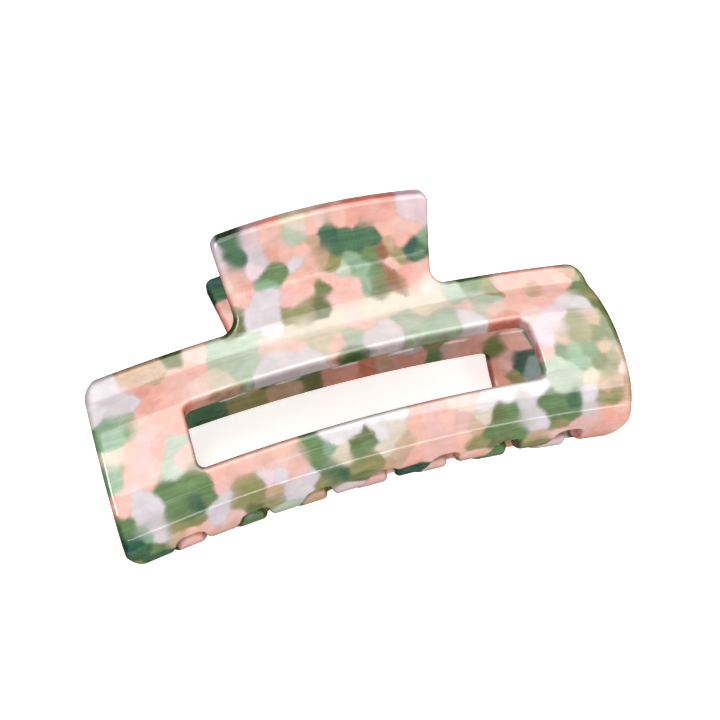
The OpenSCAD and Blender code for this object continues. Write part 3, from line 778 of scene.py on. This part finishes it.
# ---------------------------------------------------------------- the clip
ACETATE = acetate("acetate_marbled")
front = plate("front_jaw_shell", 1, FRONT_TEETH, filled_out(FRONT_CHIPS, 11), 3)
rear = plate("rear_jaw_shell", -1, FRONT_TEETH - 1, filled_out(REAR_CHIPS, 23), 5)
for jaw, node, body in ((front, "front_jaw", "front_half"), (rear, "rear_jaw", "rear_half")):
    jaw.data.materials.append(ACETATE)
    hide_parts(node)
    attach(jaw, body)

LUG = lug_acetate()
for node in ("front_lug_left", "front_lug_right", "rear_lug_left", "rear_lug_right"):
    lug = frame["nodes"][node]
    lug.data.materials.clear()
    lug.data.materials.append(LUG)
    soften = lug.modifiers.new("edges", "BEVEL")
    soften.width, soften.segments, soften.limit_method = 0.3 * MM, 3, "ANGLE"
    soften.angle_limit, soften.harden_normals = math.radians(40), False

# Hinge pin with a domed head, and the cap pushed on its other end
pin_lo, pin_hi = (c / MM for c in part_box("hinge_pin"))
cap_lo, cap_hi = (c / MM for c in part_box("pin_cap"))
PIN_R, HEAD_R, HEAD_H = 1.3, 2.2, 1.0
head = [(pin_lo.x + HEAD_H * (1 - math.cos(math.radians(a))), HEAD_R * math.sin(math.radians(a)))
        for a in (3, 15, 30, 45, 60, 75, 90)]
pin = lathe("pin_turned", head + [
    (pin_lo.x + HEAD_H + 0.02, HEAD_R - 0.05), (pin_lo.x + HEAD_H + 0.03, PIN_R),
    (pin_hi.x - 0.25, PIN_R), (pin_hi.x, PIN_R - 0.25), (pin_hi.x, 0.05)])
cap_r = (cap_hi.y - cap_lo.y) / 2
cap = lathe("cap_turned", [
    (cap_lo.x + 1.2, 0.05), (cap_lo.x + 1.2, PIN_R + 0.01), (cap_lo.x, PIN_R + 0.01),
    (cap_lo.x, cap_r - 0.12), (cap_lo.x + 0.12, cap_r), (cap_hi.x - 0.55, cap_r),
    (cap_hi.x - 0.25, cap_r - 0.18), (cap_hi.x - 0.06, cap_r - 0.6), (cap_hi.x, cap_r - 1.1),
    (cap_hi.x, 0.05)])
TURNED = steel("steel_turned", (0.62, 0.62, 0.63), 0.16, 0.34, (2600.0, 160.0, 160.0))
for piece, node in ((pin, "hinge_pin"), (cap, "pin_cap")):
    piece.data.materials.append(TURNED)
    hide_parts(node)
    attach(piece, "rear_half")

# Torsion spring: the coil sits between the two jaws, attached to neither, and each leg stays with its own
LEG_GAP, COIL_GAP, FOOT_BEND = 0.15, 0.4, 1.3
leg_slope = FLARE_SLOPE + math.degrees(LEG_LEN / FLARE_R)
leg_end = FLARE_C - (FLARE_R + PLATE_T + WIRE_D / 2 + LEG_GAP) * out_dir(leg_slope)
leg_reach = float(np.linalg.norm(leg_end))
leg_turn = math.atan2(leg_end[1], leg_end[0]) + math.acos(COIL_R / leg_reach)
coil_half = LUG_SPAN / 2 - WIRE_D / 2 - COIL_GAP
coil_sweep = 2 * math.pi * COIL_TURNS - 2 * leg_turn
rings = COIL_TURNS * 28
coil = []
for k in range(rings + 1):
    a = leg_turn + coil_sweep * k / rings
    coil.append((coil_half * (2 * k / rings - 1), Y_SHIFT + COIL_R * math.cos(a),
                 HALF_DEPTH + COIL_R * math.sin(a)))


def leg(side):
    """A spring leg from the end of the coil to its foot, on the front or rear handle."""
    x0 = -side * coil_half
    start = np.array([x0, COIL_R * math.cos(leg_turn), side * COIL_R * math.sin(leg_turn)])
    bend = np.array([x0, leg_end[0], side * leg_end[1]])
    along = (start - bend) / np.linalg.norm(start - bend)
    across = np.array([float(side), 0.0, 0.0])
    points = [start + (bend - start) * k / 16 for k in range(15)]
    radius = FOOT_BEND
    corner = bend + along * radius + across * radius
    for k in range(9):
        a = math.radians(90 * k / 8)
        points.append(corner - across * radius * math.cos(a) - along * radius * math.sin(a))
    points += [bend + across * (radius + (FOOT_LEN - radius) * k / 5) for k in range(1, 6)]
    points = [p for i, p in enumerate(points)
              if i == 0 or np.linalg.norm(p - points[i - 1]) > 0.02]
    return [(p[0], p[1] + Y_SHIFT, p[2] + HALF_DEPTH) for p in points]


WIRE = steel("steel_wire", (0.7, 0.7, 0.71), 0.12, 0.26, (420.0, 2400.0, 2400.0))
spring = tube("spring_coil", coil, WIRE_D / 2)
legs = {1: tube("spring_leg_front", leg(1), WIRE_D / 2),
        -1: tube("spring_leg_rear", leg(-1), WIRE_D / 2)}
for piece in (spring, *legs.values()):
    piece.data.materials.append(WIRE)
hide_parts("torsion_spring")
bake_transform(spring)
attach(legs[1], "front_half")
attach(legs[-1], "rear_half")

# ---------------------------------------------------------------- floor, lights, camera
bpy.ops.mesh.primitive_plane_add(size=6, location=(0, 0, 0))
floor = bpy.context.object
floor.name = "floor"
mat, tree = material("floor_pale")
shader = add(tree, "ShaderNodeBsdfPrincipled", in_Base_Color=(0.9, 0.9, 0.9, 1), in_Roughness=0.7,
             in_Emission_Color=(1, 1, 1, 1), in_Emission_Strength=0.55)
add(tree, "ShaderNodeOutputMaterial", in_Surface=shader.outputs["BSDF"])
floor.data.materials.append(mat)
floor.visible_glossy = False

# A pale wall all round, seen only behind the clip in low views
WALL_R, WALL_H, WALL_SIDES = 2.9, 3.0, 64
ring = [(WALL_R * math.cos(2 * math.pi * k / WALL_SIDES), WALL_R * math.sin(2 * math.pi * k / WALL_SIDES))
        for k in range(WALL_SIDES)]
wall_mesh = bpy.data.meshes.new("wall")
wall_mesh.from_pydata(
    [(*p, 0.0) for p in ring] + [(*p, WALL_H) for p in ring], [],
    [(k, (k + 1) % WALL_SIDES, WALL_SIDES + (k + 1) % WALL_SIDES, WALL_SIDES + k) for k in range(WALL_SIDES)])
wall = bpy.data.objects.new("wall", wall_mesh)
bpy.context.scene.collection.objects.link(wall)
mat, tree = material("wall_pale")
pale = add(tree, "ShaderNodeEmission", in_Color=(0.97, 0.97, 0.97, 1), in_Strength=1.0)
add(tree, "ShaderNodeOutputMaterial", in_Surface=pale.outputs["Emission"])
wall_mesh.materials.append(mat)
wall.visible_glossy = wall.visible_diffuse = wall.visible_shadow = wall.visible_transmission = False

world = bpy.data.worlds.new("studio")
world.use_nodes = True
tree = world.node_tree
tree.nodes.clear()
way = add(tree, "ShaderNodeSeparateXYZ", in_Vector=add(tree, "ShaderNodeTexCoord").outputs["Generated"])
bright = add(tree, "ShaderNodeMapRange", in_Value=way.outputs["Z"],
             in_1=-0.05, in_2=0.45, in_3=0.04, in_4=0.6)
sky = add(tree, "ShaderNodeBackground", in_Strength=bright.outputs["Result"])
add(tree, "ShaderNodeOutputWorld", in_Surface=sky.outputs["Background"])
bpy.context.scene.world = world


def area_light(name, place, size, power):
    """A soft square light aimed at the clip, with no reflection in the gloss."""
    data = bpy.data.lights.new(name, "AREA")
    data.shape, data.size, data.energy = "SQUARE", size, power
    light = bpy.data.objects.new(name, data)
    light.location = place
    light.rotation_euler = (-Vector(place)).to_track_quat("-Z", "Y").to_euler()
    light.visible_glossy = False
    bpy.context.scene.collection.objects.link(light)


area_light("key", (-0.25, 0.35, 0.75), 0.9, 6.0)
area_light("fill", (0.45, -0.5, 0.6), 0.8, 4.6)


def glow_panel(name, corners, strength):
    """A panel seen only as a reflection in the gloss."""
    mesh = bpy.data.meshes.new(name)
    mesh.from_pydata(corners, [], [tuple(range(len(corners)))])
    panel = bpy.data.objects.new(name, mesh)
    bpy.context.scene.collection.objects.link(panel)
    mat, tree = material(name + "_glow")
    glow = add(tree, "ShaderNodeEmission", in_Strength=strength)
    add(tree, "ShaderNodeOutputMaterial", in_Surface=glow.outputs["Emission"])
    mesh.materials.append(mat)
    panel.visible_camera = panel.visible_diffuse = panel.visible_shadow = False
    panel.visible_transmission = False


# A softbox overhead, whose front edge gives the wash its sharp ends
glow_panel("softbox", [(x, y, 0.6) for x, y in [
    (-0.5, -0.09), (0.02, -0.098), (0.16, -0.31), (0.275, -0.545),
    (0.33, -0.25), (0.8, -0.25), (0.8, 1.3), (-0.5, 1.3)]], 4.8)
# Narrow strips, whose reflections are the bright lines along the handle, bends and ends
glow_panel("strip_handle", [
    (-0.1, -0.466, 0.6), (0.22, -0.466, 0.6), (0.22, -0.456, 0.6), (-0.1, -0.456, 0.6)], 8.0)
glow_panel("strip_front", [
    (-0.2, -0.575, 0.11), (0.5, -0.575, 0.15), (0.5, -0.575, 0.178), (-0.2, -0.575, 0.138)], 7.0)
glow_panel("strip_left", [
    (-0.42, -0.3, 0.3), (-0.42, 0.3, 0.3), (-0.38, 0.3, 0.4), (-0.38, -0.3, 0.4)], 26.0)
glow_panel("strip_right", [
    (0.6, -0.3, 0.1), (0.6, 0.3, 0.1), (0.56, 0.3, 0.22), (0.56, -0.3, 0.22)], 1.2)

CAM_TARGET = Vector((3.55, Y_SHIFT - 8.77, HALF_DEPTH)) * MM
CAM_AZ, CAM_EL, CAM_ROLL, CAM_DISTANCE, LENS = -11.13, -7.76, 15.8, 0.2441, 59.1
a, e, r = (math.radians(v) for v in (CAM_AZ, CAM_EL, CAM_ROLL))
back = Vector((math.sin(a) * math.cos(e), math.sin(e), math.cos(a) * math.cos(e)))
level = Vector((math.cos(a), 0, -math.sin(a)))
above = back.cross(level)
right = math.cos(r) * level - math.sin(r) * above
up = math.sin(r) * level + math.cos(r) * above
camera = bpy.data.objects.new("camera", bpy.data.cameras.new("camera"))
camera.data.lens, camera.data.sensor_width = LENS, 36.0
camera.data.clip_start = 0.01
camera.matrix_world = Matrix.Translation(CAM_TARGET + back * CAM_DISTANCE) @ Matrix(
    (right, up, back)).transposed().to_4x4()
bpy.context.scene.collection.objects.link(camera)
bpy.context.scene.camera = camera
bpy.context.scene.view_settings.view_transform = "Standard"
